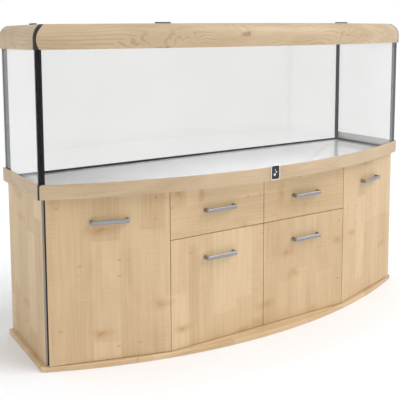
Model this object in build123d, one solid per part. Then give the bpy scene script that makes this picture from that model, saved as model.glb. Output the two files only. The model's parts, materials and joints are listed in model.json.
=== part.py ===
from build123d import *

import os
from math import atan2, cos, degrees, hypot, sin, sqrt

# A bow-front aquarium on its cabinet, with a lift-off hood. Millimetres, +Z up.
# The origin is the middle of the footprint on the floor; the front looks along -Y.

# Overall size
WIDTH = 2000.0
DEPTH = 640.0
BOW = 207.0
BADGE_PROUD = 2.0

# Cabinet
PLINTH_THICK = 20.0
PLINTH_SIDE_INSET = 3.0
PLINTH_FRONT_INSET = 15.0
PLINTH_ROUND = 3.0
CABINET_TOP = 702.0
BOARD = 18.0
SIDE_INSET = 21.0
SIDE_SETBACK = 14.5
BACK_BOARD = 8.0
SERVICE_SLOT = 60.0
BAY_X = 486.0
SHELF_THICK = 16.0
SHELF_MIDDLE = 494.0

# Doors and drawer fronts
FRONT_THICK = 16.0
FRONT_SETBACK = 11.5
FRONT_GAP = 3.0
FRONT_LOW_GAP = 2.5
EDGE_LAND = 9.0
SEAL_THICK = 2.0
SEAL_CLEARANCE = 1.0
CARCASS_CLEARANCE = 2.0

# Concealed hinges
CUP_RADIUS = 17.5
CUP_DEPTH = 11.0
CUP_CLEARANCE = 0.05
CUP_EDGE = 22.0
CUP_FLANGE = (26.0, 46.0, 1.5)
HINGE_END_GAP = 95.0
ARM_WIDTH = 20.0
ARM_LENGTH = 62.0
ARM_THICK = 11.0
ARM_PLATE = (45.0, 36.0, 2.0)
ARM_CLEARANCE = 2.5

# Handles
HANDLE_LENGTH = 156.0
HANDLE_HEIGHT = 17.0
HANDLE_THICK = 10.0
HANDLE_REACH = 30.0
HANDLE_POST = 11.0
HANDLE_ROUND = 4.0
HANDLE_END_ROUND = 9.0
UPPER_HANDLE_Z = 599.0
LOWER_HANDLE_DROP = 97.0

# Drawers and runners
DRAWER_BOARD = 12.0
DRAWER_FLOOR = 5.0
DRAWER_FLOOR_RISE = 8.0
DRAWER_HEIGHT = 120.0
DRAWER_LENGTH = 400.0
DRAWER_LIFT = 10.0
RUNNER_SPACE = 13.0
RUNNER_METAL = 1.5
RUNNER_DEPTH = 9.0
RUNNER_HEIGHT = 45.0
RUNNER_PLAY = 1.5
RUNNER_RISE = 40.0

# Tank
MAT_THICK = 5.0
GLASS = 12.0
GLASS_INSET = 7.0
TANK_HEIGHT = 590.0
SILICONE_FILM = 1.0
BEAD = 14.0
FLOOR_BEAD = 8.0
BRACE_WIDTH = 110.0
BRACE_THICK = 10.0
BRACE_SPACING = 495.0

# Wood-faced trim round the front and sides of the tank's foot
TRIM_THICK = 5.0
TRIM_HEIGHT = 59.0
TRIM_CORNER_FRONT = 6.0
TRIM_CORNER_SIDE = 4.0
TRIM_END_ROUND = 10.0
BADGE_WIDTH = 46.0
BADGE_HEIGHT = 62.0
BADGE_RISE = 6.0
BADGE_ROUND = 8.0
BADGE_DEPTH = 5.0

# Hood
HOOD_OVERLAP = 18.0
HOOD_HEIGHT = 97.0
HOOD_WALL = 5.0
HOOD_UPRIGHT = 40.0
HOOD_SHOULDER = 62.3
HOOD_CORNER_SIDE = 8.0
HOOD_CORNER_FOOT = 20.0
HOOD_CORNER_WAIST = 9.5
HOOD_CORNER_TOP = 13.0
HOOD_CORNER_BACK = 6.0
LEDGE_WIDTH = 24.0
LEDGE_THICK = 6.0
REST_GAP = 0.4

# Hood flaps
FLAP_MARGIN = 16.0
FLAP_SIDE_MARGIN = 70.0
FLAP_BACK_Y = 200.0
FLAP_MIDDLE_GAP = 60.0
FLAP_GAP = 1.5
TAB_WIDTH = 66.0
TAB_DEPTH = 14.0
TAB_RISE = 5.5
TAB_EDGE = 3.0
TAB_ROUND = 3.0
TAB_X = 490.0
LEAF_THICK = 1.5
LEAF_WIDTH = 16.0
KNUCKLE_RADIUS = 3.0
KNUCKLE_LENGTH = 18.0
KNUCKLE_GAP = 0.5
PIN_RADIUS = 1.3
PIN_CLEARANCE = 0.05
FLAP_HINGE_SHARE = 0.32

# Lights and cable plugs
TUBE_RADIUS = 13.0
TUBE_LENGTH = 1450.0
TUBE_Y = (-120.0, 90.0)
TUBE_DROP = 42.0
CAP_RADIUS = 17.0
CAP_LENGTH = 42.0
CAP_BORE_CLEARANCE = 0.1
HANGER = (14.0, 8.0)
PLUG_RADIUS = 11.0
PLUG_RISE = 6.0
PLUG_SPACING = 27.0
PLUG_EDGE = 30.0
PLUG_Y = 72.0

# Worked-out places
HALF = WIDTH / 2
BACK = DEPTH / 2
APEX = -DEPTH / 2 + BADGE_PROUD
BOW_RADIUS = (HALF**2 + BOW**2) / (2 * BOW)
BOW_CENTRE = APEX + BOW_RADIUS


def bow_y(x, inset):
    """Where a line `inset` inside the bow stands at this x."""
    return BOW_CENTRE - sqrt((BOW_RADIUS - inset) ** 2 - x**2)


SIDE_OUT = HALF - SIDE_INSET
SIDE_IN = SIDE_OUT - BOARD
SIDE_FRONT = bow_y(SIDE_OUT, PLINTH_FRONT_INSET) + SIDE_SETBACK
DOOR_EDGE_X = SIDE_OUT - EDGE_LAND
DOOR_EDGE_Y = SIDE_FRONT - SEAL_THICK - SEAL_CLEARANCE - FRONT_THICK
BAY_Y = bow_y(BAY_X, PLINTH_FRONT_INSET) + FRONT_SETBACK
DOOR_TURN = degrees(atan2(DOOR_EDGE_Y - BAY_Y, DOOR_EDGE_X - BAY_X))
CARCASS_FRONT = BAY_Y + FRONT_THICK + CARCASS_CLEARANCE
TOP_BOARD_LOW = CABINET_TOP - BOARD
BACK_BOARD_FACE = BACK - BACK_BOARD
FRONT_LOW = PLINTH_THICK + FRONT_LOW_GAP
FRONT_TOP = CABINET_TOP - FRONT_GAP
LOWER_FRONT_TOP = SHELF_MIDDLE - FRONT_GAP / 2
DRAWER_FRONT_LOW = SHELF_MIDDLE + FRONT_GAP / 2
SHELF_TOP = SHELF_MIDDLE + SHELF_THICK / 2
FRONT_FACE_IN = BAY_Y + FRONT_THICK

GLASS_LOW = CABINET_TOP + MAT_THICK
WALL_LOW = GLASS_LOW + GLASS
GLASS_TOP = GLASS_LOW + TANK_HEIGHT
GLASS_HALF = HALF - GLASS_INSET
GLASS_BACK = BACK - GLASS_INSET
PANE_INSET = GLASS_INSET + GLASS
PANE_HALF = GLASS_HALF - GLASS - SILICONE_FILM
PANE_BACK = GLASS_BACK - GLASS
TRIM_TOP = CABINET_TOP + TRIM_HEIGHT

HOOD_LOW = GLASS_TOP - HOOD_OVERLAP
HOOD_TOP = HOOD_LOW + HOOD_HEIGHT
SHOULDER_Z = HOOD_LOW + HOOD_UPRIGHT
DECK_LOW = HOOD_TOP - HOOD_WALL
LEDGE_LOW = GLASS_TOP + REST_GAP
BEYOND = 40.0


def shoulder_inset(wall):
    """How far the top edge of the hood's shoulder stands in from its upright face."""
    rise = HOOD_TOP - wall - SHOULDER_Z
    return HOOD_SHOULDER - sqrt((HOOD_SHOULDER - wall) ** 2 - rise**2)


DECK_INSET = shoulder_inset(0)
FLAP_INSET = DECK_INSET + FLAP_MARGIN
FLAP_OUT = HALF - DECK_INSET - FLAP_SIDE_MARGIN
FLAP_IN = FLAP_MIDDLE_GAP / 2
FLAP_HINGE_Z = HOOD_TOP + KNUCKLE_RADIUS + REST_GAP
FLAP_HINGE_Y = FLAP_BACK_Y
PLUG_X = -HALF + DECK_INSET + PLUG_EDGE


def group(*shapes):
    """Every solid of these shapes, as one compound."""
    return Compound([solid for shape in shapes for solid in shape.solids()])


def block(x0, x1, y0, y1, z0, z1):
    corner = (min(x0, x1), min(y0, y1), min(z0, z1))
    size = (abs(x1 - x0), abs(y1 - y0), abs(z1 - z0))
    return Pos(*corner) * Box(*size, align=(Align.MIN, Align.MIN, Align.MIN))


def mirrored(shape):
    return mirror(shape, about=Plane.YZ)


def prism(points, low, high):
    """A straight-sided plan, extruded upwards."""
    outline = make_face(Polyline(*points, close=True).edges())
    return Pos(0, 0, low) * extrude(outline, high - low)


def bowed_slab(half_width, inset, back, low, high):
    """A plan with straight sides and back and the bowed front, extruded upwards."""
    left = (-half_width, bow_y(half_width, inset))
    right = (half_width, bow_y(half_width, inset))
    front = ThreePointArc(left, (0, bow_y(0, inset)), right)
    sides = Polyline(right, (half_width, back), (-half_width, back), left)
    outline = make_face([*front.edges(), *sides.edges()])
    return Pos(0, 0, low) * extrude(outline, high - low)


def bowed_ring(outer, inner, low, high):
    """The wall between two insets from the overall plan."""
    outside = bowed_slab(HALF - outer, outer, BACK - outer, low, high)
    return outside - bowed_slab(HALF - inner, inner, BACK - inner, low, high)


# ---- Cabinet ----


def plinth_board():
    board = bowed_slab(HALF - PLINTH_SIDE_INSET, PLINTH_FRONT_INSET, BACK, 0, PLINTH_THICK)
    edges = board.faces().sort_by(Axis.Z)[-1].edges().sort_by(Axis.Y)[:-1]
    return fillet(edges, PLINTH_ROUND)


def side_panel():
    return block(-SIDE_OUT, -SIDE_IN, SIDE_FRONT, BACK, PLINTH_THICK, CABINET_TOP)


def back_panel():
    high = TOP_BOARD_LOW - SERVICE_SLOT
    return block(-SIDE_IN, SIDE_IN, BACK_BOARD_FACE, BACK, PLINTH_THICK, high)


def top_board():
    return prism(
        [
            (-SIDE_IN, BACK),
            (-SIDE_IN, SIDE_FRONT),
            (-BAY_X, CARCASS_FRONT),
            (BAY_X, CARCASS_FRONT),
            (SIDE_IN, SIDE_FRONT),
            (SIDE_IN, BACK),
        ],
        TOP_BOARD_LOW,
        CABINET_TOP,
    )


def divider(x):
    front = CARCASS_FRONT + CARCASS_CLEARANCE
    return block(x - BOARD / 2, x + BOARD / 2, front, BACK_BOARD_FACE, PLINTH_THICK, TOP_BOARD_LOW)


def drawer_shelves():
    shelf = block(
        -BAY_X + BOARD / 2,
        -BOARD / 2,
        CARCASS_FRONT,
        BACK_BOARD_FACE,
        SHELF_TOP - SHELF_THICK,
        SHELF_TOP,
    )
    return group(shelf, mirrored(shelf))


def edge_seals():
    seal = block(
        -DOOR_EDGE_X,
        -SIDE_IN,
        SIDE_FRONT - SEAL_THICK,
        SIDE_FRONT,
        PLINTH_THICK,
        CABINET_TOP,
    )
    return group(seal, mirrored(seal))


# ---- Doors, drawer fronts and their handles ----
# Each left-hand front has a place: the corner it hangs from, and its turn about Z.

ANGLED_PLACE = Pos(-DOOR_EDGE_X, DOOR_EDGE_Y, 0) * Rot(0, 0, -DOOR_TURN)
CENTRE_PLACE = Pos(-BAY_X + FRONT_GAP / 2, BAY_Y, 0)
ANGLED_WIDTH = hypot(BAY_X - DOOR_EDGE_X, BAY_Y - DOOR_EDGE_Y)
CENTRE_WIDTH = BAY_X - FRONT_GAP


def cup_heights(low, high):
    return (low + HINGE_END_GAP, high - HINGE_END_GAP)


def cup_holes(low, high):
    """Blind holes in a front's back face, in the front's own place."""
    radius = CUP_RADIUS + CUP_CLEARANCE
    hole = Rot(90, 0, 0) * Cylinder(radius, 2 * CUP_DEPTH)
    return [Pos(CUP_EDGE + CUP_RADIUS, FRONT_THICK, z) * hole for z in cup_heights(low, high)]


def angled_door():
    """The outer door: square at its hinged edge, cut parallel to Y beside the centre bay."""
    slope = (BAY_Y - DOOR_EDGE_Y) / (DOOR_EDGE_X - BAY_X)
    end_x = -BAY_X - FRONT_GAP / 2
    end_y = DOOR_EDGE_Y + slope * (end_x + DOOR_EDGE_X)
    turn = atan2(-slope, 1)
    inner_corner = (-DOOR_EDGE_X + FRONT_THICK * sin(turn), DOOR_EDGE_Y + FRONT_THICK * cos(turn))
    outline = [
        (-DOOR_EDGE_X, DOOR_EDGE_Y),
        (end_x, end_y),
        (end_x, end_y + FRONT_THICK / cos(turn)),
        inner_corner,
    ]
    door = prism(outline, FRONT_LOW, FRONT_TOP)
    return door - [ANGLED_PLACE * hole for hole in cup_holes(FRONT_LOW, FRONT_TOP)]


def centre_door():
    door = block(0, CENTRE_WIDTH, 0, FRONT_THICK, FRONT_LOW, LOWER_FRONT_TOP)
    return CENTRE_PLACE * (door - cup_holes(FRONT_LOW, LOWER_FRONT_TOP))


def drawer_front():
    return CENTRE_PLACE * block(0, CENTRE_WIDTH, 0, FRONT_THICK, DRAWER_FRONT_LOW, FRONT_TOP)


def handle():
    """A bracket-shaped bar, centred on X, standing on the plane y = 0 towards -Y."""
    outer = Pos(0, -HANDLE_REACH / 2) * Rectangle(HANDLE_LENGTH, HANDLE_REACH)
    ends = outer.vertices().sort_by(Axis.Y)[:2]
    outer = fillet(ends, HANDLE_END_ROUND)
    gap_deep = HANDLE_REACH - HANDLE_THICK
    inner = Pos(0, -gap_deep / 2) * Rectangle(HANDLE_LENGTH - 2 * HANDLE_POST, gap_deep)
    bar = extrude(outer - inner, HANDLE_HEIGHT / 2, both=True)
    rims = bar.faces().sort_by(Axis.Z)[-1].edges() + bar.faces().sort_by(Axis.Z)[0].edges()
    return fillet(rims, HANDLE_ROUND)


def hinge_cups(low, high):
    """The cups let into a front's back face, each with its screw flange."""
    cup = Rot(90, 0, 0) * Cylinder(CUP_RADIUS, CUP_DEPTH)
    cup = Pos(0, FRONT_THICK - CUP_DEPTH / 2, 0) * cup
    hollow = Rot(90, 0, 0) * Cylinder(CUP_RADIUS - 1.5, CUP_DEPTH)
    hollow = Pos(0, FRONT_THICK - CUP_DEPTH / 2 + 1.5, 0) * hollow
    across, tall, thick = CUP_FLANGE
    flange = block(-across / 2, across / 2, FRONT_THICK, FRONT_THICK + thick, -tall / 2, tall / 2)
    one = cup + flange - hollow
    x = CUP_EDGE + CUP_RADIUS
    return group(*[Pos(x, 0, z) * one for z in cup_heights(low, high)])


def hinge_arm(wall_x, front_y):
    """A fixed arm and its plate on a board's face at wall_x, ending behind the front."""
    across, tall, thick = ARM_PLATE
    plate_front = front_y + ARM_LENGTH - across
    plate = block(wall_x, wall_x + thick, plate_front, plate_front + across, -tall / 2, tall / 2)
    arm = block(
        wall_x + thick,
        wall_x + thick + ARM_THICK,
        front_y,
        front_y + ARM_LENGTH,
        -ARM_WIDTH / 2,
        ARM_WIDTH / 2,
    )
    return fillet(arm.edges().filter_by(Axis.Z), 3) + plate


def hinge_arms():
    clear = FRONT_THICK + CUP_FLANGE[2] + ARM_CLEARANCE
    outer = hinge_arm(-SIDE_IN, DOOR_EDGE_Y + clear)
    centre = hinge_arm(-BAY_X + BOARD / 2, BAY_Y + clear)
    arms = [Pos(0, 0, z) * outer for z in cup_heights(FRONT_LOW, FRONT_TOP)]
    arms += [Pos(0, 0, z) * centre for z in cup_heights(FRONT_LOW, LOWER_FRONT_TOP)]
    return group(*arms, *[mirrored(arm) for arm in arms])


# ---- Drawers ----

DRAWER_LOW = SHELF_TOP + DRAWER_LIFT
DRAWER_OUT = BAY_X - BOARD / 2 - RUNNER_SPACE
DRAWER_IN = BOARD / 2 + RUNNER_SPACE
DRAWER_BACK = FRONT_FACE_IN + DRAWER_LENGTH
RUNNER_Z = DRAWER_LOW + RUNNER_RISE


def drawer_boards():
    """Two sides, a front, a back and the floor let in between them."""
    high = DRAWER_LOW + DRAWER_HEIGHT
    inner_out = DRAWER_OUT - DRAWER_BOARD
    inner_in = DRAWER_IN + DRAWER_BOARD
    floor_low = DRAWER_LOW + DRAWER_FLOOR_RISE
    return group(
        block(-DRAWER_OUT, -inner_out, FRONT_FACE_IN, DRAWER_BACK, DRAWER_LOW, high),
        block(-inner_in, -DRAWER_IN, FRONT_FACE_IN, DRAWER_BACK, DRAWER_LOW, high),
        block(-inner_out, -inner_in, FRONT_FACE_IN, FRONT_FACE_IN + DRAWER_BOARD, DRAWER_LOW, high),
        block(-inner_out, -inner_in, DRAWER_BACK - DRAWER_BOARD, DRAWER_BACK, DRAWER_LOW, high),
        block(
            -inner_out,
            -inner_in,
            FRONT_FACE_IN + DRAWER_BOARD,
            DRAWER_BACK - DRAWER_BOARD,
            floor_low,
            floor_low + DRAWER_FLOOR,
        ),
    )


def channel(wall_x, towards, tall):
    """A runner member: a web on wall_x with two flanges reaching `towards` (+1 or -1) X."""
    web_x = wall_x + towards * RUNNER_METAL
    tip_x = wall_x + towards * RUNNER_DEPTH
    low, high = RUNNER_Z - tall / 2, RUNNER_Z + tall / 2
    front, back = FRONT_FACE_IN + RUNNER_PLAY, DRAWER_BACK
    return (
        block(wall_x, web_x, front, back, low, high)
        + block(web_x, tip_x, front, back, low, low + RUNNER_METAL)
        + block(web_x, tip_x, front, back, high - RUNNER_METAL, high)
    )


def runner_rails():
    """The members fixed to the dividers."""
    front_play = Pos(0, CARCASS_CLEARANCE + RUNNER_PLAY, 0)
    left_pair = [
        front_play * channel(-BAY_X + BOARD / 2, 1, RUNNER_HEIGHT),
        front_play * channel(-BOARD / 2, -1, RUNNER_HEIGHT),
    ]
    return group(*left_pair, *[mirrored(rail) for rail in left_pair])


def drawer_slides():
    """The members screwed to a drawer's sides, nested inside the fixed ones."""
    tall = RUNNER_HEIGHT - 2 * (RUNNER_METAL + RUNNER_PLAY)
    return group(channel(-DRAWER_OUT, -1, tall), channel(-DRAWER_IN, 1, tall))


# ---- Tank ----


def foam_mat():
    return bowed_slab(GLASS_HALF, GLASS_INSET, GLASS_BACK, CABINET_TOP, GLASS_LOW)


def bottom_glass():
    return bowed_slab(GLASS_HALF, GLASS_INSET, GLASS_BACK, GLASS_LOW, WALL_LOW)


def front_glass():
    outside = bowed_slab(PANE_HALF, GLASS_INSET, 0, WALL_LOW, GLASS_TOP)
    return outside - bowed_slab(HALF, PANE_INSET, BACK, WALL_LOW, GLASS_TOP)


def back_glass():
    return block(-PANE_HALF, PANE_HALF, PANE_BACK, GLASS_BACK, WALL_LOW, GLASS_TOP)


def side_glass():
    pane = block(GLASS_HALF - GLASS, GLASS_HALF, -HALF, GLASS_BACK, WALL_LOW, GLASS_TOP)
    pane = pane & bowed_slab(GLASS_HALF, GLASS_INSET, GLASS_BACK, WALL_LOW, GLASS_TOP)
    return group(pane, mirrored(pane))


def corner_silicone():
    """At each upright corner, the film between the panes and the bead inside them."""
    film_x = (GLASS_HALF - GLASS - SILICONE_FILM, GLASS_HALF - GLASS)
    bead_x = (GLASS_HALF - GLASS - BEAD, GLASS_HALF - GLASS)
    inside = bowed_slab(HALF, PANE_INSET, BACK, WALL_LOW, GLASS_TOP)
    front_film = block(*film_x, -HALF, 0, WALL_LOW, GLASS_TOP)
    front_film = front_film & bowed_slab(HALF, GLASS_INSET, 0, WALL_LOW, GLASS_TOP) - inside
    front_bead = block(*bead_x, -HALF, 0, WALL_LOW, GLASS_TOP) & inside
    front_bead = front_bead - bowed_slab(HALF, PANE_INSET + BEAD, BACK, WALL_LOW, GLASS_TOP)
    back_film = block(*film_x, PANE_BACK, GLASS_BACK, WALL_LOW, GLASS_TOP)
    back_bead = block(*bead_x, PANE_BACK - BEAD, PANE_BACK, WALL_LOW, GLASS_TOP)
    front = group(front_film + front_bead)
    back = group(back_film + back_bead)
    return group(front, back, mirrored(front), mirrored(back))


def bottom_silicone():
    """The bead round the tank's floor, between the upright beads."""
    high = WALL_LOW + FLOOR_BEAD
    bead = bowed_ring(PANE_INSET, PANE_INSET + FLOOR_BEAD, WALL_LOW, high)
    inner_half = GLASS_HALF - GLASS - BEAD
    long_runs = bead & block(-inner_half, inner_half, -HALF, HALF, WALL_LOW, high)
    front_end = bow_y(inner_half, PANE_INSET + BEAD) + BEAD
    end_runs = bead & block(-HALF, HALF, front_end, PANE_BACK - BEAD, WALL_LOW, high)
    return group(long_runs + end_runs)


def cross_braces():
    inside = bowed_slab(PANE_HALF, PANE_INSET, PANE_BACK, GLASS_TOP - BRACE_THICK, GLASS_TOP)
    half = BRACE_WIDTH / 2
    places = (-BRACE_SPACING, 0, BRACE_SPACING)
    return group(
        *[inside & block(x - half, x + half, -HALF, HALF, WALL_LOW, GLASS_TOP) for x in places]
    )


# ---- Trim ----


def trim_ring():
    return bowed_ring(0, TRIM_THICK, CABINET_TOP, TRIM_TOP)


def trim_front():
    """The bowed strip, with the top corners of its ends rounded."""
    half = HALF - TRIM_CORNER_FRONT
    face = RectangleRounded(2 * half, 2 * TRIM_HEIGHT, TRIM_END_ROUND)
    cutter = Pos(0, 0, TRIM_TOP - TRIM_HEIGHT) * extrude(Plane.XZ * face, HALF)
    return group(trim_ring() & cutter)


def trim_sides():
    start = bow_y(HALF, 0) + TRIM_CORNER_SIDE
    strip = block(-HALF, -HALF + TRIM_THICK, start, BACK, CABINET_TOP, TRIM_TOP)
    return group(strip, mirrored(strip))


def trim_corners():
    """The front corner pieces: whatever of the ring the strips leave open."""
    start = bow_y(HALF, 0) + TRIM_CORNER_SIDE
    reach = TRIM_CORNER_FRONT + TRIM_END_ROUND
    zone = block(-HALF, -HALF + reach, -HALF, start, CABINET_TOP, TRIM_TOP)
    corner = group((trim_ring() & zone) - trim_front())
    return group(corner, mirrored(corner))


def badge():
    """A plain plate on the middle of the front strip, a little above its top edge."""
    face = RectangleRounded(BADGE_WIDTH, BADGE_HEIGHT, BADGE_ROUND)
    middle_z = TRIM_TOP + BADGE_RISE - BADGE_HEIGHT / 2
    plate = Pos(0, APEX - BADGE_PROUD + BADGE_DEPTH, middle_z) * extrude(Plane.XZ * face, BADGE_DEPTH)
    return group(plate - bowed_slab(HALF, 0, BACK, CABINET_TOP, TRIM_TOP))


# ---- Hood ----


def hood_section(half_width, wall):
    """The hood's end view, `wall` inside its skin: upright faces, then rounded shoulders."""
    out = half_width - wall
    top = HOOD_TOP - wall
    in_top = half_width - shoulder_inset(wall)
    centre = half_width - HOOD_SHOULDER
    half_rise = (top - SHOULDER_Z) / 2
    bend = (centre + sqrt((HOOD_SHOULDER - wall) ** 2 - half_rise**2), SHOULDER_Z + half_rise)
    low = HOOD_LOW - (BEYOND if wall else 0)
    right = Polyline((0, low), (out, low), (out, SHOULDER_Z))
    shoulder = ThreePointArc((out, SHOULDER_Z), bend, (in_top, top))
    closing = Polyline((in_top, top), (0, top), (0, low))
    return make_face([*right.edges(), *shoulder.edges(), *closing.edges()])


def hood_prism(half_width, wall):
    """The section carried straight through from front to back."""
    half = extrude(Plane.XZ * hood_section(half_width, wall), HALF)
    half = Pos(0, BACK - wall, 0) * half
    return half + mirrored(half)


def hood_turned(inset, wall):
    """The section swept round the bow, solid behind the front face."""
    turn = 70
    half_width = BOW_RADIUS - inset
    section = Plane.XZ * hood_section(half_width, wall)
    swept = revolve(section, Axis.Z, turn)
    return Pos(0, BOW_CENTRE, 0) * Rot(0, 0, -90 - turn / 2) * swept


def hood_shell():
    outer = hood_prism(HALF, 0) & hood_turned(0, 0)
    inner = hood_prism(HALF, HOOD_WALL) & hood_turned(0, HOOD_WALL)
    deck_zone = bowed_slab(
        HALF - DECK_INSET, DECK_INSET, BACK - HOOD_WALL, DECK_LOW, HOOD_TOP + BEYOND
    )
    return outer - inner - deck_zone


def hood_front_zone():
    """A zone along X whose ends curve in between the foot and the top of the corner pieces."""
    top_x = HALF - DECK_INSET - HOOD_CORNER_TOP
    end = Spline(
        (HALF - HOOD_CORNER_FOOT, HOOD_LOW),
        (HALF - HOOD_CORNER_WAIST, SHOULDER_Z),
        (top_x, HOOD_TOP),
    )
    foot = (HALF - HOOD_CORNER_FOOT, HOOD_LOW)
    rest = Polyline((top_x, HOOD_TOP), (0, HOOD_TOP), (0, HOOD_LOW), foot)
    face = make_face([*end.edges(), *rest.edges()])
    half = extrude(Plane.XZ * face, HALF)
    return half + mirrored(half)


def hood_pieces():
    """Front, side and back fascias, and the corner pieces between them."""
    shell = hood_shell()
    front = group(shell & hood_front_zone())
    side_in = -HALF + HOOD_SHOULDER
    side_zone = block(-HALF, side_in, -HALF, BACK - HOOD_CORNER_BACK, HOOD_LOW, HOOD_TOP)
    side = group((shell & hood_turned(HOOD_CORNER_SIDE, 0) & side_zone) - front)
    back_half = HALF - HOOD_CORNER_BACK
    back_wall = block(-HALF, HALF, BACK - HOOD_WALL, BACK, HOOD_LOW, HOOD_TOP)
    back_zone = hood_prism(back_half, 0) & back_wall
    back = group(shell & back_zone)
    sides = group(side, mirrored(side))
    corners = group(shell - front - sides - back)
    return front, sides, back, corners


def flap_plan(grow, low, high):
    """The left flap's plan, grown all round, as a slab."""
    bowed = bowed_slab(HALF, FLAP_INSET - grow, FLAP_BACK_Y + grow, low, high)
    return bowed & block(-FLAP_OUT - grow, -FLAP_IN + grow, -HALF, HALF, low, high)


def hood_deck():
    deck = bowed_slab(HALF - DECK_INSET, DECK_INSET, BACK - HOOD_WALL, DECK_LOW, HOOD_TOP)
    opening = flap_plan(FLAP_GAP, DECK_LOW, HOOD_TOP)
    return group(deck - opening - mirrored(opening))


def hood_ledges():
    """The inner ledge that rests on the rim of the glass."""
    return bowed_ring(HOOD_WALL, HOOD_WALL + LEDGE_WIDTH, LEDGE_LOW, LEDGE_LOW + LEDGE_THICK)


def flap():
    return flap_plan(0, DECK_LOW, HOOD_TOP)


def finger_tab(x):
    """A grip near a flap's front edge."""
    y = bow_y(x, FLAP_INSET) + TAB_EDGE
    tab = block(x - TAB_WIDTH / 2, x + TAB_WIDTH / 2, y, y + TAB_DEPTH, HOOD_TOP, HOOD_TOP + TAB_RISE)
    return fillet(tab.edges().filter_by(Axis.X).sort_by(Axis.Z)[-2:], TAB_ROUND)


def hinge_x(side):
    """Where a flap's two hinges stand, for the left (-1) or right (+1) flap."""
    middle = (FLAP_OUT + FLAP_IN) / 2
    spread = (FLAP_OUT - FLAP_IN) * FLAP_HINGE_SHARE
    return [side * (middle - spread), side * (middle + spread)]


def knuckle(x, length, radius):
    return Pos(x, FLAP_HINGE_Y, FLAP_HINGE_Z) * Rot(0, 90, 0) * Cylinder(radius, length)


def leaf(x, length, towards):
    """A leaf lying on the deck or flap, reaching from its knuckle towards +Y or -Y."""
    start = FLAP_HINGE_Y + towards * FLAP_GAP
    return block(
        x - length / 2,
        x + length / 2,
        start,
        start + towards * LEAF_WIDTH,
        HOOD_TOP,
        HOOD_TOP + LEAF_THICK,
    )


def fixed_hinge(x):
    """The middle knuckle and its leaf on the deck, bored for the pin."""
    length = KNUCKLE_LENGTH
    body = knuckle(x, length, KNUCKLE_RADIUS) + leaf(x, length, 1)
    web = block(
        x - length / 2,
        x + length / 2,
        FLAP_HINGE_Y + PIN_RADIUS + 0.5,
        FLAP_HINGE_Y + LEAF_WIDTH / 2,
        HOOD_TOP,
        FLAP_HINGE_Z,
    )
    return body + web - knuckle(x, length + 1, PIN_RADIUS + PIN_CLEARANCE)


def moving_hinge(x):
    """Two outer knuckles, their leaves on the flap, and the pin between them."""
    step = KNUCKLE_LENGTH + KNUCKLE_GAP
    whole = knuckle(x, 3 * KNUCKLE_LENGTH + 2 * KNUCKLE_GAP, PIN_RADIUS)
    for centre in (x - step, x + step):
        web = block(
            centre - KNUCKLE_LENGTH / 2,
            centre + KNUCKLE_LENGTH / 2,
            FLAP_HINGE_Y - LEAF_WIDTH / 2,
            FLAP_HINGE_Y - PIN_RADIUS - 0.5,
            HOOD_TOP,
            FLAP_HINGE_Z,
        )
        whole = whole + knuckle(centre, KNUCKLE_LENGTH, KNUCKLE_RADIUS)
        whole = whole + leaf(centre, KNUCKLE_LENGTH, -1) + web
    return whole


def hood_hinges():
    return group(*[fixed_hinge(x) for side in (-1, 1) for x in hinge_x(side)])


def flap_fittings(side):
    return group(finger_tab(side * TAB_X), *[moving_hinge(x) for x in hinge_x(side)])


def light_tubes():
    z = DECK_LOW - TUBE_DROP
    return group(*[Pos(0, y, z) * Rot(0, 90, 0) * Cylinder(TUBE_RADIUS, TUBE_LENGTH) for y in TUBE_Y])


def light_caps():
    """The sealed end caps, each hung from the deck's underside."""
    z = DECK_LOW - TUBE_DROP
    across, thick = HANGER
    pieces = []
    for y in TUBE_Y:
        for side in (-1, 1):
            x = side * (TUBE_LENGTH / 2)
            cap = Pos(x, y, z) * Rot(0, 90, 0) * Cylinder(CAP_RADIUS, CAP_LENGTH)
            cap = fillet(cap.edges(), 3)
            hanger = block(x - thick / 2, x + thick / 2, y - across / 2, y + across / 2, z, DECK_LOW)
            bore = Cylinder(TUBE_RADIUS + CAP_BORE_CLEARANCE, TUBE_LENGTH)
            pieces.append(cap + hanger - Pos(0, y, z) * Rot(0, 90, 0) * bore)
    return group(*pieces)


def cable_plugs():
    """Two low round plugs that close the cable holes in the deck's left end."""
    plug = Cylinder(PLUG_RADIUS, PLUG_RISE)
    plug = fillet(plug.edges().sort_by(Axis.Z)[-1], 2)
    places = [PLUG_Y - PLUG_SPACING / 2, PLUG_Y + PLUG_SPACING / 2]
    return group(*[Pos(PLUG_X, y, HOOD_TOP + PLUG_RISE / 2) * plug for y in places])


def stand_pieces():
    return {
        "plinth_board": plinth_board(),
        "side_panel_left": side_panel(),
        "side_panel_right": mirrored(side_panel()),
        "back_panel": back_panel(),
        "top_board": top_board(),
        "divider_left": divider(-BAY_X),
        "divider_centre": divider(0),
        "divider_right": divider(BAY_X),
        "drawer_shelves": drawer_shelves(),
        "edge_seals": edge_seals(),
        "hinge_arms": hinge_arms(),
        "runner_rails": runner_rails(),
    }


def tank_pieces():
    return {
        "foam_mat": foam_mat(),
        "bottom_glass": bottom_glass(),
        "front_glass": front_glass(),
        "back_glass": back_glass(),
        "side_glass": side_glass(),
        "corner_silicone": corner_silicone(),
        "bottom_silicone": bottom_silicone(),
        "cross_braces": cross_braces(),
        "trim_front": trim_front(),
        "trim_sides": trim_sides(),
        "trim_corners": trim_corners(),
        "badge": badge(),
    }


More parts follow.
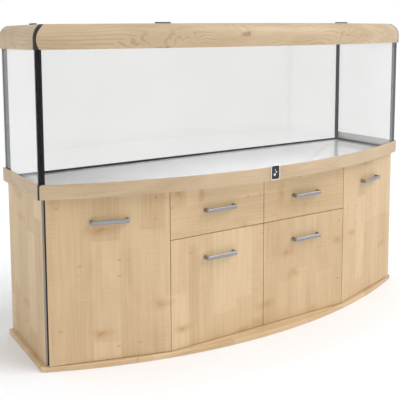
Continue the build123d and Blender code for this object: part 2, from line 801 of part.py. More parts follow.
def front_pieces():
    """Doors and drawers: the left-hand ones, and their mirror images."""
    angled_handle = ANGLED_PLACE * Pos(ANGLED_WIDTH / 2, 0, UPPER_HANDLE_Z) * handle()
    lower_z = LOWER_FRONT_TOP - LOWER_HANDLE_DROP
    centre_handle = CENTRE_PLACE * Pos(CENTRE_WIDTH / 2, 0, lower_z) * handle()
    drawer_handle = CENTRE_PLACE * Pos(CENTRE_WIDTH / 2, 0, UPPER_HANDLE_Z) * handle()
    left = {
        "door_left": angled_door(),
        "door_left_handle": angled_handle,
        "door_left_cups": ANGLED_PLACE * hinge_cups(FRONT_LOW, FRONT_TOP),
        "door_centre_left": centre_door(),
        "door_centre_left_handle": centre_handle,
        "door_centre_left_cups": CENTRE_PLACE * hinge_cups(FRONT_LOW, LOWER_FRONT_TOP),
        "drawer_left_front": drawer_front(),
        "drawer_left_handle": drawer_handle,
        "drawer_left_boards": drawer_boards(),
        "drawer_left_slides": drawer_slides(),
    }
    right = {name.replace("left", "right"): mirrored(piece) for name, piece in left.items()}
    return {**left, **right}


def hood_nodes():
    front, sides, back, corners = hood_pieces()
    return {
        "hood_front": front,
        "hood_sides": sides,
        "hood_back": back,
        "hood_corners": corners,
        "hood_deck": hood_deck(),
        "hood_ledges": hood_ledges(),
        "hood_hinges": hood_hinges(),
        "light_tubes": light_tubes(),
        "light_caps": light_caps(),
        "cable_plugs": cable_plugs(),
        "flap_left": flap(),
        "flap_right": mirrored(flap()),
        "flap_left_fittings": flap_fittings(-1),
        "flap_right_fittings": flap_fittings(1),
    }


os.makedirs("parts", exist_ok=True)
NODES = {**stand_pieces(), **tank_pieces(), **front_pieces(), **hood_nodes()}
for node, piece in NODES.items():
    export_step(group(piece), f"parts/{node}.step")
print(len(NODES), "nodes")
print("left door hinge", -DOOR_EDGE_X, DOOR_EDGE_Y, "centre hinge", -BAY_X + FRONT_GAP / 2, BAY_Y)
print("flap hinge", FLAP_HINGE_Y, FLAP_HINGE_Z)
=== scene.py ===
import json
import math

import bmesh
import bpy
from mathutils import Matrix, Vector


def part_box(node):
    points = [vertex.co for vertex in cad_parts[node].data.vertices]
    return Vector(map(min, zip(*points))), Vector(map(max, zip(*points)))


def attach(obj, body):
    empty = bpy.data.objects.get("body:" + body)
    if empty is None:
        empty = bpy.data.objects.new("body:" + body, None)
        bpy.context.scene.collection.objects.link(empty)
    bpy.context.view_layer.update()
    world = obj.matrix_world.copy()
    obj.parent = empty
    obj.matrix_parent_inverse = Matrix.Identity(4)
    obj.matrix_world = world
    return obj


# A bow-front aquarium on a light maple cabinet: finishes, small fittings, light and camera.

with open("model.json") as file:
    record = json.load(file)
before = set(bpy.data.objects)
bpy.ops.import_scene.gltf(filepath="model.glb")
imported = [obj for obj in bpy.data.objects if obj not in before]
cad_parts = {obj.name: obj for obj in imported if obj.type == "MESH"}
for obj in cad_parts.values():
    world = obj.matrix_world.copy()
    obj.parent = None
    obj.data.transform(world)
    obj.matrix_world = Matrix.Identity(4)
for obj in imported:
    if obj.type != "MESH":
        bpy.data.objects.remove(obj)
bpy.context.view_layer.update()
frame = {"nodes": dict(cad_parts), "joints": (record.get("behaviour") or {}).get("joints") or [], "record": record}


def box(node):
    """A node's lowest and highest corners at rest."""
    low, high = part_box(node)
    return Vector(low), Vector(high)


# ---- Camera ----

CAMERA_PLACE = (-1.8742, -2.5242, 1.3283)
CAMERA_TURN = -29.94
CAMERA_DOWN = 6.057
CAMERA_ROLL = -0.61
LENS = 60.41
SHIFT = (0.117, -0.2332)


def add_camera():
    data = bpy.data.cameras.new("camera")
    data.lens = LENS
    data.sensor_width = 36.0
    data.shift_x, data.shift_y = SHIFT
    data.clip_end = 200.0
    camera = bpy.data.objects.new("camera", data)
    bpy.context.scene.collection.objects.link(camera)
    turn = Matrix.Rotation(math.radians(CAMERA_TURN), 4, "Z")
    tilt = Matrix.Rotation(math.radians(90.0 - CAMERA_DOWN), 4, "X")
    roll = Matrix.Rotation(math.radians(CAMERA_ROLL), 4, "Z")
    camera.matrix_world = Matrix.Translation(CAMERA_PLACE) @ turn @ tilt @ roll
    bpy.context.scene.camera = camera


# ---- Building materials from nodes ----

NOISE_MIDDLE = (0.3, 0.7)


class Finish:
    """One material's nodes, with short calls for the kinds this object needs."""

    def __init__(self, name):
        self.material = bpy.data.materials.new(name)
        self.material.use_nodes = True
        self.tree = self.material.node_tree
        self.tree.nodes.clear()
        self.output = self.tree.nodes.new("ShaderNodeOutputMaterial")
        self.shader = self.tree.nodes.new("ShaderNodeBsdfPrincipled")
        self.tree.links.new(self.shader.outputs[0], self.output.inputs["Surface"])

    def feed(self, socket, value):
        if isinstance(value, bpy.types.NodeSocket):
            self.tree.links.new(value, socket)
        else:
            socket.default_value = value

    def node(self, kind, inputs, **settings):
        made = self.tree.nodes.new("ShaderNode" + kind)
        for name, value in settings.items():
            setattr(made, name, value)
        for name, value in inputs.items():
            self.feed(made.inputs[name], value)
        return made.outputs

    def add(self, kind, inputs, output=0, **settings):
        return self.node(kind, inputs, **settings)[output]

    def axes(self):
        place = self.add("TexCoord", {}, "Object")
        split = self.tree.nodes.new("ShaderNodeSeparateXYZ")
        self.tree.links.new(place, split.inputs[0])
        return split.outputs

    def sum(self, a, b, times=1.0):
        return self.add("Math", {0: a, 1: times, 2: b}, operation="MULTIPLY_ADD")

    def times(self, a, b):
        return self.add("Math", {0: a, 1: b}, operation="MULTIPLY")

    def noise(self, a, b, detail=2.0, distortion=0.0):
        """Noise from 0 to 1 over a flat pair of coordinates."""
        where = self.add("CombineXYZ", {0: a, 1: b})
        made = {"Vector": where, "Scale": 1.0, "Detail": detail, "Distortion": distortion}
        return self.add("TexNoise", made, noise_dimensions="2D")

    def figure(self, along, across, stretch, detail=2.0, distortion=0.0):
        """Noise stretched with the grain: `stretch` is its size per metre along and across."""
        return self.noise(self.times(along, stretch[0]), self.times(across, stretch[1]), detail, distortion)

    def contrast(self, value, start=0.0, end=1.0):
        """Noise with its middle drawn out to the whole of start..end."""
        return self.spread(value, *NOISE_MIDDLE, start, end)

    def spread(self, value, low, high, start=0.0, end=1.0, smooth=False):
        """value from low..high carried to start..end, held at both ends."""
        kind = "SMOOTHSTEP" if smooth else "LINEAR"
        made = {0: value, 1: low, 2: high, 3: start, 4: end}
        return self.add("MapRange", made, interpolation_type=kind)

    def mix(self, share, a, b):
        made = {0: share, 6: a, 7: b}
        return self.add("Mix", made, 2, data_type="RGBA")

    def bump(self, height, depth, strength=1.0):
        made = {"Height": height, "Distance": depth, "Strength": strength}
        self.feed(self.shader.inputs["Normal"], self.add("Bump", made))

    def set(self, **inputs):
        for name, value in inputs.items():
            self.feed(self.shader.inputs[name.replace("_", " ")], value)
        return self.material


def colour(red, green, blue):
    """A colour given as it looks (0 to 255), as the shader's own values."""

    def channel(value):
        share = value / 255.0
        return share / 12.92 if share <= 0.04045 else ((share + 0.055) / 1.055) ** 2.4

    return (channel(red), channel(green), channel(blue), 1.0)


# ---- Maple foil ----

# How many of each feature there are in a metre, along the grain and across it.
BEND = (18.0, 18.0)
KNOT_CELLS = (9.0, 4.2)
SPECK_CELLS = (13.0, 21.0)
CLOUD = (4.0, 11.0)
STREAK = (3.0, 130.0)
FIBRE = (14.0, 700.0)
RIPPLE = (150.0, 10.0)
FLAME = (3.1, 12.0)
BAND_KNOT_CELLS = (3.2, 7.0)
BAND_DRIFT = (2.4, 6.0)
BAND_QUIVER = (14.0, 30.0)
BAND_FADE = (5.0, 16.0)
BAND_CLOUD = (3.0, 12.0)
BAND_FIBRE = (16.0, 620.0)
BAND_LINES = 62.0
STAVE_LENGTH = 0.42
SPECK_SHARE = 0.10

# How far each one darkens a board, and how deep and how shiny the foil is.
STAVE_WEIGHT = 0.52
CLOUD_WEIGHT = 0.18
STREAK_WEIGHT = 0.26
FIBRE_WEIGHT = 0.12
RIPPLE_WEIGHT = 0.17
BAND_CLOUD_WEIGHT = 0.75
BAND_FIBRE_WEIGHT = 0.25
BAND_LINE_WEIGHT = 0.42
FOIL_DEPTH = 0.00010
FOIL_BUMP = 0.4
FOIL_GLOSS = 0.35

FRONT_LIGHT = colour(216, 190, 152)
FRONT_DARK = colour(190, 160, 121)
FRONT_SMEAR = colour(186, 146, 100)
FRONT_EYE = colour(160, 118, 76)
HOOD_LIGHT = colour(204, 181, 149)
HOOD_DARK = colour(182, 157, 125)
HOOD_LINE = colour(150, 124, 90)
HOOD_EYE = colour(128, 98, 68)


def grain_axes(wood, facing, shift):
    """Distances along and across the grain, for a face that looks along Y, along X, or up."""
    x, y, z = wood.axes()
    pairs = {
        "front": (z, x),
        "side": (z, y),
        "drawer": (x, z),
        "flat": (x, wood.sum(y, z)),
        "band": (wood.sum(x, y), z),
    }
    along, across = pairs[facing]
    return wood.sum(along, shift), wood.sum(across, 1.7 * shift)


def knot_field(wood, along, across, cells_per_metre, share):
    """Distance to the nearest knot, in cells, and whether this cell has one."""
    per_along, per_across = cells_per_metre
    bend = wood.figure(along, across, BEND)
    place = wood.add(
        "CombineXYZ",
        {
            0: wood.sum(bend, wood.times(along, per_along), 0.35),
            1: wood.sum(bend, wood.times(across, per_across), 0.25),
        },
    )
    cells = wood.node("TexVoronoi", {"Vector": place, "Scale": 1.0}, voronoi_dimensions="2D")
    chance = wood.add("SeparateColor", {0: cells["Color"]}, 0)
    return cells["Distance"], wood.spread(chance, 1.0 - share, 1.02 - share)


def stave_tone(wood, along, across, stave, length):
    """One random tone for each stave, changing again where a stave ends."""
    strip = wood.add(
        "TexVoronoi", {"W": wood.times(across, 1.0 / stave), "Scale": 1.0}, 1, voronoi_dimensions="1D"
    )
    row = wood.add("SeparateColor", {0: strip}, 0)
    step = wood.add("Math", {0: wood.sum(row, wood.times(along, 1.0 / length), 5.0)}, operation="FLOOR")
    both = wood.add("CombineXYZ", {0: wood.times(row, 97.0), 1: step})
    return wood.add("TexWhiteNoise", {"Vector": both}, 0, noise_dimensions="2D")


def stave_maple(name, facing, shift, stave=0.085, knots=0.28):
    """Printed maple planks: toned staves, fibres, cross flame, and a few soft knots and smears."""
    wood = Finish(name)
    along, across = grain_axes(wood, facing, shift)
    tone = stave_tone(wood, along, across, stave, STAVE_LENGTH)
    cloud = wood.figure(along, across, CLOUD, 3.0, 0.4)
    streak = wood.figure(along, across, STREAK)
    fibre = wood.figure(along, across, FIBRE, 3.0)
    ripple = wood.figure(along, across, RIPPLE, 2.0, 0.3)
    flamed = wood.figure(along, across, FLAME, 1.0)
    flamed = wood.spread(flamed, 0.46, 0.62, smooth=True)
    ripple = wood.times(wood.spread(ripple, 0.35, 0.65), flamed)

    depth = wood.times(tone, STAVE_WEIGHT)
    depth = wood.sum(wood.contrast(cloud), depth, CLOUD_WEIGHT)
    depth = wood.sum(wood.contrast(streak), depth, STREAK_WEIGHT)
    depth = wood.sum(wood.contrast(fibre), depth, FIBRE_WEIGHT)
    depth = wood.sum(ripple, depth, RIPPLE_WEIGHT)
    board = wood.mix(wood.spread(depth, 0.1, 1.05), FRONT_LIGHT, FRONT_DARK)

    near, present = knot_field(wood, along, across, KNOT_CELLS, knots)
    smear = wood.times(wood.spread(near, 0.03, 0.30, 0.55, 0.0, smooth=True), present)
    eye = wood.times(wood.spread(near, 0.02, 0.07, 0.35, 0.0, smooth=True), present)
    board = wood.mix(smear, board, FRONT_SMEAR)
    board = wood.mix(eye, board, FRONT_EYE)
    speck_near, speck_here = knot_field(wood, across, along, SPECK_CELLS, SPECK_SHARE)
    speck = wood.times(wood.spread(speck_near, 0.04, 0.16, 0.40, 0.0, smooth=True), speck_here)
    board = wood.mix(speck, board, FRONT_EYE)
    wood.bump(wood.sum(streak, fibre, 0.5), FOIL_DEPTH, FOIL_BUMP)
    rough = wood.contrast(fibre, 0.40, 0.50)
    return wood.set(Base_Color=board, Roughness=rough, Specular_IOR_Level=FOIL_GLOSS)


def grown_maple(name, facing, shift, lines=1.0, knots=0.3):
    """Printed maple with thin growth lines that wander along the band and close round its knots."""
    wood = Finish(name)
    along, across = grain_axes(wood, facing, shift)
    near, present = knot_field(wood, along, across, BAND_KNOT_CELLS, knots)
    pull = wood.times(wood.spread(near, 0.0, 0.55, 1.0, 0.0, smooth=True), present)
    drift = wood.figure(along, across, BAND_DRIFT, 1.0)
    quiver = wood.figure(along, across, BAND_QUIVER)
    rings = wood.sum(drift, wood.times(across, BAND_LINES), 9.0)
    rings = wood.sum(pull, rings, 4.0)
    rings = wood.sum(quiver, rings, 0.7)
    wave = wood.add("Math", {0: wood.times(rings, 2.0 * math.pi)}, operation="SINE")
    line = wood.spread(wave, 0.45, 1.0, smooth=True)
    fade = wood.figure(along, across, BAND_FADE)
    line = wood.times(line, wood.contrast(fade, 0.25, 1.0))

    cloud = wood.figure(along, across, BAND_CLOUD, 3.0, 0.5)
    fibre = wood.figure(along, across, BAND_FIBRE, 3.0)
    depth = wood.times(wood.spread(cloud, 0.25, 0.75), BAND_CLOUD_WEIGHT)
    depth = wood.sum(wood.contrast(fibre), depth, BAND_FIBRE_WEIGHT)
    board = wood.mix(depth, HOOD_LIGHT, HOOD_DARK)
    board = wood.mix(wood.times(line, BAND_LINE_WEIGHT * lines), board, HOOD_LINE)
    eye = wood.times(wood.spread(near, 0.02, 0.10, 0.55, 0.0, smooth=True), present)
    board = wood.mix(eye, board, HOOD_EYE)
    wood.bump(wood.sum(line, fibre, 0.5), FOIL_DEPTH, FOIL_BUMP)
    rough = wood.contrast(fibre, 0.38, 0.48)
    return wood.set(Base_Color=board, Roughness=rough, Specular_IOR_Level=FOIL_GLOSS)


# ---- Other finishes ----


def moulded(name, tone, rough, grain, depth=0.0001, gloss=0.5):
    """Moulded plastic, rubber or foam: fine grain, faint cloudiness in its gloss."""
    skin = Finish(name)
    place = skin.add("TexCoord", {}, "Object")
    fine = skin.add("TexNoise", {"Vector": place, "Scale": grain, "Detail": 3.0})
    cloud = skin.add("TexNoise", {"Vector": place, "Scale": 9.0, "Detail": 2.0})
    lighter = tuple(min(1.0, 1.3 * c + 0.001) for c in tone[:3]) + (1.0,)
    base = skin.mix(skin.contrast(cloud, 0.0, 0.5), tone, lighter)
    skin.bump(fine, depth, 0.6)
    rough_here = skin.contrast(cloud, rough - 0.05, rough + 0.06)
    return skin.set(Base_Color=base, Roughness=rough_here, Specular_IOR_Level=gloss)


def metal(name, tone, rough, stretch):
    """Brushed metal: streaks along the piece in both gloss and colour."""
    bar = Finish(name)
    x, y, z = bar.axes()
    along = bar.sum(x, y)
    streak = bar.noise(bar.times(along, stretch), bar.times(z, 2600.0), 2.0)
    smear = bar.noise(bar.times(along, 30.0), bar.times(z, 60.0), 2.0)
    darker = tuple(0.78 * c for c in tone[:3]) + (1.0,)
    base = bar.mix(bar.contrast(streak), darker, tone)
    bar.bump(streak, 0.00003, 0.4)
    rough_here = bar.contrast(smear, rough - 0.05, rough + 0.07)
    return bar.set(Base_Color=base, Roughness=rough_here, Metallic=1.0)


def clear_glass(name, tints):
    """Float glass that lets lamp light through, with a faint cast that wanders between two tints."""
    pane = Finish(name)
    place = pane.add("TexCoord", {}, "Object")
    haze = pane.add("TexNoise", {"Vector": place, "Scale": 2.5, "Detail": 2.0})
    tint = pane.mix(pane.contrast(haze), *tints)
    pane.set(Base_Color=tint, Roughness=0.0, Transmission_Weight=1.0)
    pane.set(IOR=GLASS_IOR, Specular_IOR_Level=GLASS_GLOSS)
    through = pane.add("BsdfTransparent", {"Color": LAMP_THROUGH})
    lamp = pane.add("LightPath", {}, "Is Shadow Ray")
    both = pane.add("MixShader", {0: lamp, 1: pane.shader.outputs[0], 2: through})
    pane.tree.links.new(both, pane.output.inputs["Surface"])
    return pane.material


def frosted_tube(name):
    """A lit tube, its white faintly cloudy."""
    tube = Finish(name)
    x, y, z = tube.axes()
    cloud = tube.noise(tube.times(x, 60.0), tube.times(z, 60.0), 3.0)
    base = tube.mix(tube.contrast(cloud), (0.80, 0.82, 0.84, 1.0), (0.92, 0.93, 0.94, 1.0))
    tube.bump(cloud, 0.00005, 0.3)
    tube.set(Emission_Color=base, Emission_Strength=TUBE_GLOW)
    return tube.set(Base_Color=base, Roughness=0.3)


def liner_film(name, low, high):
    """Pale film, greyer towards its foot, with faint level streaks."""
    film = Finish(name)
    x, y, z = film.axes()
    streak = film.noise(film.times(film.sum(x, y), 3.0), film.times(z, 260.0), 2.0)
    height = film.sum(streak, z, 0.006)
    middle = (low + high) / 2.0
    share = film.spread(height, middle - 0.004, middle + 0.008)
    base = film.mix(share, (0.46, 0.46, 0.47, 1.0), (0.93, 0.93, 0.93, 1.0))
    film.bump(streak, 0.00005, 0.3)
    return film.set(Base_Color=base, Roughness=film.contrast(streak, 0.45, 0.55))


GLASS_IOR = 1.33
GLASS_GLOSS = 0.3
LAMP_THROUGH = (0.985, 0.985, 0.985, 1.0)
PANE_TINTS = (colour(239, 238, 236), colour(242, 241, 239))
BASE_TINTS = (colour(252, 252, 252), colour(254, 254, 254))
TUBE_GLOW = 15.0

FINISHES = {
    "plinth_maple": stave_maple("plinth_maple", "flat", 3.1, 0.2, 0.2),
    "side_maple": stave_maple("side_maple", "side", 5.3),
    "carcass_maple": stave_maple("carcass_maple", "front", 8.9, 0.09, 0.2),
    "door_maple": stave_maple("door_maple", "front", 0.4),
    "drawer_maple": stave_maple("drawer_maple", "drawer", 2.2, 0.11),
    "trim_maple": grown_maple("trim_maple", "band", 1.3, 0.5, 0.15),
    "hood_maple": grown_maple("hood_maple", "band", 6.6),
    "drawer_board": stave_maple("drawer_board", "drawer", 4.4, 0.2, 0.1),
    "satin_nickel": metal("satin_nickel", (0.37, 0.37, 0.38, 1.0), 0.36, 14.0),
    "hinge_steel": metal("hinge_steel", (0.62, 0.62, 0.63, 1.0), 0.26, 40.0),
    "runner_steel": metal("runner_steel", (0.55, 0.56, 0.58, 1.0), 0.36, 10.0),
    "seal_rubber": moulded("seal_rubber", (0.012, 0.011, 0.010, 1.0), 0.6, 900.0),
    "foam_grey": moulded("foam_grey", (0.93, 0.935, 0.95, 1.0), 0.85, 1400.0),
    "silicone_black": moulded("silicone_black", (0.002, 0.002, 0.002, 1.0), 0.45, 120.0, gloss=0.15),
    "corner_plastic": moulded("corner_plastic", (0.012, 0.012, 0.012, 1.0), 0.30, 500.0, 0.00003),
    "black_plastic": moulded("black_plastic", (0.018, 0.018, 0.018, 1.0), 0.45, 1500.0),
    "deck_plastic": moulded("deck_plastic", (0.020, 0.020, 0.021, 1.0), 0.5, 1200.0, 0.0002),
    "tank_glass": clear_glass("tank_glass", PANE_TINTS),
    "light_white": frosted_tube("light_white"),
}

BOARD_SLOTS = ("side_maple", "carcass_maple", "door_maple", "drawer_maple", "drawer_board")
EDGE_EASE = 0.0007
SAME_POINT = 0.00001
SHARP = 40.0


def ease_edges(node):
    """Breaks a board's sharp edges by under a millimetre."""
    weld = node.modifiers.new("weld", "WELD")
    weld.merge_threshold = SAME_POINT
    ease = node.modifiers.new("ease", "BEVEL")
    ease.width = EDGE_EASE
    ease.segments = 2
    ease.limit_method = "ANGLE"
    ease.angle_limit = math.radians(SHARP)
    ease.harden_normals = True


def dress_nodes():
    """Every carried-over node takes the finish of its slot in the record."""
    slots = {part["node"]: part["material_slot"] for part in frame["record"]["subparts"]}
    for name, node in frame["nodes"].items():
        node.data.materials.clear()
        node.data.materials.append(FINISHES[slots[name]])
        if slots[name] in BOARD_SLOTS:
            ease_edges(node)
    base_glass = clear_glass("base_glass", BASE_TINTS)
    frame["nodes"]["bottom_glass"].data.materials[0] = base_glass


# ---- Small fittings that the CAD model leaves out ----

BOW = 0.207
BOW_STEPS = 72
LINER_INSET = 0.0053
LINER_THICK = 0.0009
LINER_DROP = 0.0015
BAND_THICK = 0.0005
RIM_REACH = 0.0015
RIM_WIDTH = 0.0035
RIM_PROUD = 0.0006
RIM_DEPTH = 0.0018
RIM_ROUND = 0.0095
BUBBLES = ((-0.004, -0.009, 0.0060), (0.005, 0.002, 0.0040), (-0.001, 0.011, 0.0026))
BUBBLE_PROUD = 0.0004
POST_MIDDLE = 0.0055
SCREW_RISE = 0.5
SCREW_CROWN = 0.72
SOCKET_WALL = 0.32
SOCKET_DEPTH = 0.6
HANDLE_SCREW = 0.0042
CUP_SCREW = 0.0024
CUP_MIDDLE = 0.0395
FLANGE_THICK = 0.0015
FLANGE_HALF = 0.023
FLANGE_SCREW = 0.0203
PLATE_MIDDLE = 0.0595
PLATE_THICK = 0.002
PLATE_SCREW = 0.014


def keep(mesh, name, body, finish):
    """A finished bmesh as an object that rides on a body; an empty one stops the script."""
    bmesh.ops.recalc_face_normals(mesh, faces=mesh.faces)
    data = bpy.data.meshes.new(name)
    mesh.to_mesh(data)
    mesh.free()
    if not data.polygons:
        raise ValueError(name + " has no faces")
    data.materials.append(finish)
    piece = bpy.data.objects.new(name, data)
    bpy.context.scene.collection.objects.link(piece)
    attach(piece, body)


def bow_line(inset, back, z):
    """A bmesh of one open line: up the left side, round the bow and back along the right side."""
    full = box("trim_sides")[1].x
    radius = (full**2 + BOW**2) / (2.0 * BOW)
    centre = box("trim_front")[0].y + radius
    half, reach = full - inset, radius - inset
    start = centre - math.sqrt(reach**2 - half**2)
    mesh = bmesh.new()
    first = mesh.verts.new((-half, start, z))
    bmesh.ops.spin(
        mesh,
        geom=[first],
        cent=(0.0, centre, z),
        axis=(0, 0, 1),
        angle=2.0 * math.asin(half / reach),
        steps=BOW_STEPS,
    )
    bmesh.ops.remove_doubles(mesh, verts=mesh.verts[:], dist=SAME_POINT)
    ends = [vert for vert in mesh.verts if len(vert.link_edges) == 1]
    for vert in bmesh.ops.extrude_vert_indiv(mesh, verts=ends)["verts"]:
        vert.co.y = back
    return mesh


def trim_liner():
    """The pale inner band of the trim, as it is seen through the tank."""
    low, high = box("trim_sides")
    mesh = bow_line(LINER_INSET, high.y - LINER_INSET, low.z + LINER_DROP)
    made = bmesh.ops.extrude_edge_only(mesh, edges=mesh.edges[:])
    top = [item for item in made["geom"] if isinstance(item, bmesh.types.BMVert)]
    bmesh.ops.translate(mesh, verts=top, vec=(0, 0, high.z - low.z - 2.0 * LINER_DROP))
    bmesh.ops.recalc_face_normals(mesh, faces=mesh.faces[:])
    bmesh.ops.solidify(mesh, geom=mesh.faces[:], thickness=LINER_THICK)
    keep(mesh, "trim_liner", "stand", liner_film("liner_film", low.z, high.z))


def edge_bands():
    """The grey edging on the side panels' front edges, outside the black seals."""
    seal = box("edge_seals")
    edging = moulded("edging", (0.34, 0.32, 0.295, 1.0), 0.55, 700.0)
    for side, name in enumerate(("left", "right")):
        panel = box("side_panel_" + name)
        across = sorted((panel[side].x, seal[side].x))
        low = Vector((across[0], panel[0].y - BAND_THICK, panel[0].z))
        high = Vector((across[1], panel[0].y, panel[1].z))
        mesh = bmesh.new()
        place = Matrix.Translation((low + high) / 2.0) @ Matrix.Diagonal((*(high - low), 1.0))
        bmesh.ops.create_cube(mesh, size=1.0, matrix=place)
        keep(mesh, "edge_band_" + name, "stand", edging)


def badge_rim(finish):
    """A pale rim with round corners, round the badge plate."""
    low, high = box("badge")
    middle = (low + high) / 2.0
    middle.y = low.y - RIM_PROUD
    wide, tall = high.x - low.x + 2.0 * RIM_REACH, high.z - low.z + 2.0 * RIM_REACH
    size = Matrix.Diagonal((wide, tall, 1.0, 1.0))
    place = Matrix.Translation(middle) @ Matrix.Rotation(math.pi / 2.0, 4, "X") @ size
    mesh = bmesh.new()
    bmesh.ops.create_grid(mesh, x_segments=1, y_segments=1, size=0.5, matrix=place)
    corners = mesh.verts[:]
    bmesh.ops.bevel(
        mesh, geom=corners, offset=RIM_ROUND, segments=8, profile=0.5, affect="VERTICES", material=-1
    )
    ring = bmesh.ops.inset_region(
        mesh, faces=mesh.faces[:], thickness=RIM_WIDTH, use_boundary=True, use_even_offset=True
    )["faces"]
    bmesh.ops.delete(mesh, geom=[face for face in mesh.faces if face not in ring], context="FACES")
    walls = bmesh.ops.extrude_face_region(mesh, geom=mesh.faces[:])["geom"]
    back = [item for item in walls if isinstance(item, bmesh.types.BMVert)]
    bmesh.ops.translate(mesh, verts=back, vec=(0, RIM_DEPTH, 0))
    keep(mesh, "badge_rim", "stand", finish)


def badge_bubbles(finish):
    """Three plain raised discs on the badge."""
    low, high = box("badge")
    turn = Matrix.Rotation(math.pi / 2.0, 4, "X")
    mesh = bmesh.new()
    for across, up, radius in BUBBLES:
        place = Vector((across, low.y, (low.z + high.z) / 2.0 + up))
        bmesh.ops.create_cone(
            mesh,
            cap_ends=True,
            segments=32,
            radius1=radius,
            radius2=0.85 * radius,
            depth=2.0 * BUBBLE_PROUD,
            matrix=Matrix.Translation(place) @ turn,
        )
    keep(mesh, "badge_bubbles", "stand", finish)


def add_screw(mesh, place, towards, head):
    """A pan head of radius `head` with a socket, standing on `place` and facing `towards`."""
    rise = SCREW_RISE * head
    turn = towards.to_track_quat("Z", "Y").to_matrix().to_4x4()
    made = bmesh.ops.create_cone(
        mesh,
        cap_ends=True,
        segments=12,
        radius1=head,
        radius2=SCREW_CROWN * head,
        depth=rise,
        matrix=Matrix.Translation(place + towards * rise / 2.0) @ turn,
    )
    faces = {face for vert in made["verts"] for face in vert.link_faces}
    top = max(faces, key=lambda face: face.calc_center_median().dot(towards))
    bmesh.ops.inset_region(mesh, faces=[top], thickness=SOCKET_WALL * head)
    bmesh.ops.translate(mesh, verts=top.verts[:], vec=-towards * SOCKET_DEPTH * rise)


def hinge_line(door):
    """A point on the line that a door turns about."""
    return Vector(next(joint["pos_m"] for joint in frame["joints"] if joint["child"] == door))


def front_ways(front):
    """The way along a front, left to right, and the way in from it."""
    if front not in ("door_left", "door_right"):
        return Vector((1, 0, 0)), Vector((0, 1, 0))
    low, high = box(front)
    hinge = hinge_line(front)
    fall = low.y - hinge.y
    along = Vector((high.x - low.x, fall if hinge.x < 0 else -fall, 0)).normalized()
    return along, Vector((-along.y, along.x, 0))


def front_thickness():
    low, high = box("drawer_left_front")
    return high.y - low.y


def handle_screws(front, handle, body, finish):
    """The two screws inside a front that hold its handle."""
    straight = box("drawer_left_handle")
    length, reach = straight[1].x - straight[0].x, straight[1].y - straight[0].y
    along, inward = front_ways(front)
    low, high = box(handle)
    behind = (low + high) / 2.0 + inward * (reach / 2.0 + front_thickness())
    mesh = bmesh.new()
    for side in (-1, 1):
        add_screw(mesh, behind + along * side * (length / 2.0 - POST_MIDDLE), inward, HANDLE_SCREW)
    keep(mesh, front + "_screws", body, finish)


def hinge_screws(door, wall, finish):
    """The screws in a door's two cup flanges, and in the plates on the board it hangs from."""
    edge = hinge_line(door)
    along, inward = front_ways(door)
    side = -1 if edge.x < 0 else 1
    cup = edge - side * along * CUP_MIDDLE + inward * (front_thickness() + FLANGE_THICK)
    wall_x = box(wall)[1].x if side < 0 else box(wall)[0].x
    plate = Vector((wall_x - side * PLATE_THICK, edge.y + PLATE_MIDDLE, 0))
    low, high = box(door + "_cups")
    moving, fixed = bmesh.new(), bmesh.new()
    for height in (low.z + FLANGE_HALF, high.z - FLANGE_HALF):
        for step in (-1, 1):
            cup.z = height + step * FLANGE_SCREW
            plate.z = height + step * PLATE_SCREW
            add_screw(moving, cup, inward, CUP_SCREW)
            add_screw(fixed, plate, Vector((-side, 0, 0)), HANDLE_SCREW)
    keep(moving, door + "_cup_screws", door, finish)
    keep(fixed, door + "_plate_screws", "stand", finish)


def add_fittings():
    pale = moulded("rim_satin", (0.72, 0.72, 0.72, 1.0), 0.38, 600.0)
    trim_liner()
    edge_bands()
    badge_rim(pale)
    badge_bubbles(pale)
    steel = metal("screw_steel", (0.55, 0.55, 0.56, 1.0), 0.3, 300.0)
    for name in ("left", "centre_left", "centre_right", "right"):
        door = "door_" + name
        handle_screws(door, door + "_handle", door, steel)
        wall = {"left": "side_panel_left", "right": "side_panel_right"}.get(name)
        hinge_screws(door, wall or name.replace("centre", "divider"), steel)
    for name in ("drawer_left", "drawer_right"):
        handle_screws(name + "_front", name + "_handle", name, steel)


# ---- Stage and light ----

FLOOR_DROP = 0.0005
FLOOR_REACH = 60.0
PAPER_TONES = ((0.895, 0.912, 0.940, 1.0), (0.905, 0.922, 0.950, 1.0))


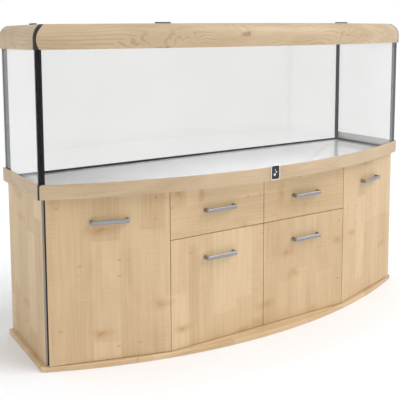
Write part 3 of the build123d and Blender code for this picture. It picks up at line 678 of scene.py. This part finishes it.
def add_floor():
    mesh = bmesh.new()
    drop = Matrix.Translation((0, 0, -FLOOR_DROP))
    bmesh.ops.create_grid(mesh, x_segments=1, y_segments=1, size=FLOOR_REACH, matrix=drop)
    data = bpy.data.meshes.new("floor")
    mesh.to_mesh(data)
    mesh.free()
    floor = bpy.data.objects.new("floor", data)
    bpy.context.scene.collection.objects.link(floor)
    paper = Finish("floor_paper")
    place = paper.add("TexCoord", {}, "Object")
    grain = paper.add("TexNoise", {"Vector": place, "Scale": 3.0, "Detail": 2.0})
    paper.set(Base_Color=paper.mix(grain, *PAPER_TONES), Roughness=0.9)
    data.materials.append(paper.material)


SKY = 0.83
BACKDROP = 1.0
SUN_STRENGTH = 1.52
SUN_HEIGHT = 45.0
SUN_SIDE = 52.0
SUN_SOFTNESS = 40.0


def add_light():
    world = bpy.data.worlds.new("studio")
    bpy.context.scene.world = world
    world.use_nodes = True
    tree = world.node_tree
    background = tree.nodes["Background"]
    background.inputs["Color"].default_value = (1.0, 1.0, 1.0, 1.0)
    path = tree.nodes.new("ShaderNodeLightPath")
    seen = tree.nodes.new("ShaderNodeMath")
    seen.operation = "MAXIMUM"
    tree.links.new(path.outputs["Is Camera Ray"], seen.inputs[0])
    tree.links.new(path.outputs["Is Transmission Ray"], seen.inputs[1])
    level = tree.nodes.new("ShaderNodeMapRange")
    level.inputs["To Min"].default_value = SKY
    level.inputs["To Max"].default_value = BACKDROP
    tree.links.new(seen.outputs[0], level.inputs["Value"])
    tree.links.new(level.outputs[0], background.inputs["Strength"])
    data = bpy.data.lights.new("key", "SUN")
    data.energy = SUN_STRENGTH
    data.angle = math.radians(SUN_SOFTNESS)
    key = bpy.data.objects.new("key", data)
    bpy.context.scene.collection.objects.link(key)
    turn = Matrix.Rotation(math.radians(SUN_SIDE), 4, "Z")
    tilt = Matrix.Rotation(math.radians(90.0 - SUN_HEIGHT), 4, "X")
    key.matrix_world = turn @ tilt
    bpy.context.scene.view_settings.view_transform = "Standard"


add_camera()
dress_nodes()
add_fittings()
add_floor()
add_light()
